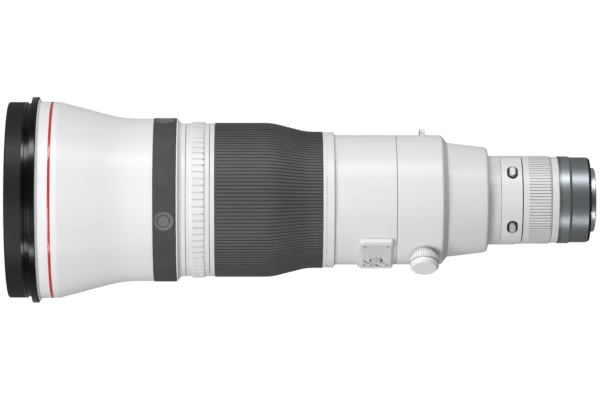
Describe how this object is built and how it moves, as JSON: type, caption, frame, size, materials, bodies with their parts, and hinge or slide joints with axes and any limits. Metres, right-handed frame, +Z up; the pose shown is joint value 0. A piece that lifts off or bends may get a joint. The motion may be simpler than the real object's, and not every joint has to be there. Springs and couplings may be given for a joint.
{
  "type": "super-telephoto camera lens",
  "caption": "White super-telephoto lens with a ribbed focus ring, switch panels, drop-in filter and a rotating tripod collar on a long foot.",
  "frame": {"origin": "centre of the tripod foot's underside, which stands on the ground", "axes": "+X along the optical axis from the front of the lens to its camera mount, +Z up, +Y to the photographer's right (the lock knob and switch panels are on the -Y side)"},
  "size_m": [0.4775, 0.168, 0.192],
  "materials": {
    "white_shell": "white heat-shielding enamel, fine satin",
    "hood_ring": "black anodised, matt and gloss bands",
    "black_metal": "black anodised, satin",
    "grey_metal": "blue-grey satin metal",
    "rubber": "black rubber, matt",
    "button_rubber": "dark grey elastomer, matt",
    "panel_plastic": "white moulded plastic, satin",
    "switch_plastic": "light grey moulded plastic, satin",
    "black_plastic": "black moulded plastic, matt",
    "liner_plastic": "white low-friction plastic, matt",
    "black_screw": "blackened steel",
    "steel": "plain steel, satin",
    "silver_button": "satin silver",
    "bayonet_steel": "polished stainless steel",
    "contact_gold": "gold-plated, bright",
    "coated_glass": "coated optical glass",
    "board": "green circuit board"
  },
  "bodies": {
    "collar": {"collar_ring": "white_shell", "collar_liners": "liner_plastic", "strap_lugs": "white_shell", "tripod_foot": "white_shell", "foot_screws": "black_screw"},
    "barrel": {"hood_mount_ring": "hood_ring", "front_element": "coated_glass", "front_barrel": "white_shell", "button_band": "rubber", "button_bezels": "black_plastic", "spacer_ring": "white_shell", "centre_tube": "black_metal", "rear_grip_ring": "white_shell", "main_barrel": "white_shell", "stabiliser_panel": "panel_plastic", "focus_panel": "panel_plastic", "panel_screws": "steel", "neck_barrel": "white_shell", "rear_barrel": "white_shell", "end_ring": "white_shell", "mount_ring": "grey_metal", "mount_gasket": "rubber", "bayonet_mount": "bayonet_steel", "mount_screws": "steel", "contact_block": "black_plastic", "contact_pins": "contact_gold", "lens_cells": "black_metal", "inner_lenses": "coated_glass", "focus_rail_frame": "black_metal", "focus_motor": "steel", "stabiliser_frame": "black_metal", "aperture_unit": "black_plastic", "circuit_board": "board"},
    "clamp_shoe": {"clamp_shoe": "black_plastic"},
    "lock_knob": {"lock_knob": "white_shell", "lock_screw": "steel"},
    "playback_ring": {"playback_ring": "white_shell"},
    "focus_ring": {"focus_ring_sleeve": "black_metal", "focus_ring_grip": "rubber"},
    "control_ring": {"control_ring": "white_shell"},
    "stabiliser_mode_switch": {"stabiliser_mode_switch": "switch_plastic"},
    "stabiliser_on_switch": {"stabiliser_on_switch": "switch_plastic"},
    "focus_mode_switch": {"focus_mode_switch": "switch_plastic"},
    "focus_range_switch": {"focus_range_switch": "switch_plastic"},
    "preset_switch": {"preset_switch": "switch_plastic"},
    "preset_button": {"preset_button": "switch_plastic"},
    "filter_holder": {"filter_cover": "white_shell", "filter_frame": "black_plastic", "filter_glass": "coated_glass"},
    "filter_release_left": {"filter_release_left": "silver_button"},
    "filter_release_right": {"filter_release_right": "silver_button"},
    "focus_carriage": {"focus_carriage": "black_plastic", "focus_lens": "coated_glass"},
    "stabiliser_yaw_ring": {"stabiliser_yaw_ring": "black_plastic"},
    "stabiliser_lens": {"stabiliser_lens_holder": "black_plastic", "stabiliser_lens": "coated_glass"},
    "function_button_1": {"function_button_1": "button_rubber"},
    "function_button_2": {"function_button_2": "button_rubber"},
    "function_button_3": {"function_button_3": "button_rubber"},
    "function_button_4": {"function_button_4": "button_rubber"}
  },
  "joints": [
    {"name": "barrel_turn", "type": "hinge", "parent": "collar", "child": "barrel", "pos_m": [0.057, 0, 0.108], "axis": [1, 0, 0], "continuous": true},
    {"name": "clamp_shoe_slide", "type": "slide", "parent": "collar", "child": "clamp_shoe", "axis": [0, -0.8387, 0.5446], "range_m": [0, 0.0006]},
    {"name": "lock_knob_turn", "type": "hinge", "parent": "clamp_shoe", "child": "lock_knob", "pos_m": [0.0586, 0, 0.108], "axis": [0, -0.8387, 0.5446], "range_deg": [0, 270]},
    {"name": "function_button_1_press", "type": "slide", "parent": "barrel", "child": "function_button_1", "axis": [0, 0.2588, -0.9659], "range_m": [0, 0.0006], "stiffness_N_per_m": 1500, "springref_m": -0.0003},
    {"name": "function_button_2_press", "type": "slide", "parent": "barrel", "child": "function_button_2", "axis": [0, 0.9659, 0.2588], "range_m": [0, 0.0006], "stiffness_N_per_m": 1500, "springref_m": -0.0003},
    {"name": "function_button_3_press", "type": "slide", "parent": "barrel", "child": "function_button_3", "axis": [0, -0.2588, 0.9659], "range_m": [0, 0.0006], "stiffness_N_per_m": 1500, "springref_m": -0.0003},
    {"name": "function_button_4_press", "type": "slide", "parent": "barrel", "child": "function_button_4", "axis": [0, -0.9659, -0.2588], "range_m": [0, 0.0006], "stiffness_N_per_m": 1500, "springref_m": -0.0003},
    {"name": "playback_ring_turn", "type": "hinge", "parent": "barrel", "child": "playback_ring", "pos_m": [-0.1246, 0, 0.108], "axis": [1, 0, 0], "range_deg": [-8, 8], "stiffness_Nm_per_rad": 0.6},
    {"name": "focus_ring_turn", "type": "hinge", "parent": "barrel", "child": "focus_ring", "pos_m": [-0.06715, 0, 0.108], "axis": [1, 0, 0], "continuous": true},
    {"name": "control_ring_turn", "type": "hinge", "parent": "barrel", "child": "control_ring", "pos_m": [0.15055, 0, 0.108], "axis": [1, 0, 0], "continuous": true},
    {"name": "stabiliser_mode_switch_slide", "type": "slide", "parent": "barrel", "child": "stabiliser_mode_switch", "axis": [1, 0, 0], "range_m": [-0.0045, 0.0045]},
    {"name": "stabiliser_on_switch_slide", "type": "slide", "parent": "barrel", "child": "stabiliser_on_switch", "axis": [1, 0, 0], "range_m": [0, 0.0036]},
    {"name": "focus_mode_switch_slide", "type": "slide", "parent": "barrel", "child": "focus_mode_switch", "axis": [1, 0, 0], "range_m": [0, 0.0038]},
    {"name": "focus_range_switch_slide", "type": "slide", "parent": "barrel", "child": "focus_range_switch", "axis": [1, 0, 0], "range_m": [-0.0038, 0.0038]},
    {"name": "preset_switch_slide", "type": "slide", "parent": "barrel", "child": "preset_switch", "axis": [1, 0, 0], "range_m": [0, 0.0038]},
    {"name": "preset_button_press", "type": "slide", "parent": "barrel", "child": "preset_button", "axis": [0, 1, 0.0087], "range_m": [0, 0.0005], "stiffness_N_per_m": 1200, "springref_m": -0.0003},
    {"name": "filter_holder_lift", "type": "slide", "parent": "barrel", "child": "filter_holder", "axis": [0, 0, 1], "range_m": [0, 0.07]},
    {"name": "filter_release_left_press", "type": "slide", "parent": "filter_holder", "child": "filter_release_left", "axis": [0, -0.6225, -0.7826], "range_m": [0, 0.001], "stiffness_N_per_m": 1200, "springref_m": -0.0003},
    {"name": "filter_release_right_press", "type": "slide", "parent": "filter_holder", "child": "filter_release_right", "axis": [0, 0.6225, -0.7826], "range_m": [0, 0.001], "stiffness_N_per_m": 1200, "springref_m": -0.0003},
    {"name": "focus_carriage_slide", "type": "slide", "parent": "barrel", "child": "focus_carriage", "axis": [1, 0, 0], "range_m": [-0.018, 0.018]},
    {"name": "stabiliser_yaw_slide", "type": "slide", "parent": "barrel", "child": "stabiliser_yaw_ring", "axis": [0, 1, 0], "range_m": [-0.0009, 0.0009], "stiffness_N_per_m": 400},
    {"name": "stabiliser_pitch_slide", "type": "slide", "parent": "stabiliser_yaw_ring", "child": "stabiliser_lens", "axis": [0, 0, 1], "range_m": [-0.0009, 0.0009], "stiffness_N_per_m": 4000, "springref_m": 0.00006}
  ],
  "couplings": [
    {"joint": "lock_knob_turn", "follows": "clamp_shoe_slide", "rad_per_m": 7850}
  ]
}
